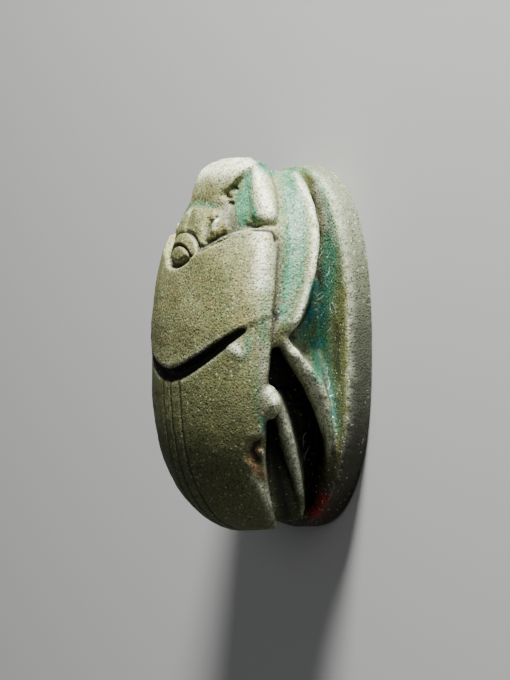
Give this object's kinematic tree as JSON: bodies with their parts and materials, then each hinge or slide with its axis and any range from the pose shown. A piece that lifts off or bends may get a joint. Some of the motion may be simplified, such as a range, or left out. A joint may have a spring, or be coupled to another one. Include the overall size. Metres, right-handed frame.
{
  "type": "scarab amulet",
  "caption": "Beetle-shaped amulet carved in one piece with its oval base, lying on its flat seal face and pierced from end to end.",
  "frame": {"origin": "centre of the flat seal face that the amulet rests on", "axes": "+Y towards the beetle's head, +Z out of its back, +X to the beetle's right"},
  "size_m": [0.0116, 0.0174, 0.0077],
  "materials": {
    "glazed_steatite": "worn matt stone with remains of green glaze in the hollows"
  },
  "bodies": {
    "root": {"scarab": "glazed_steatite"}
  },
  "joints": []
}
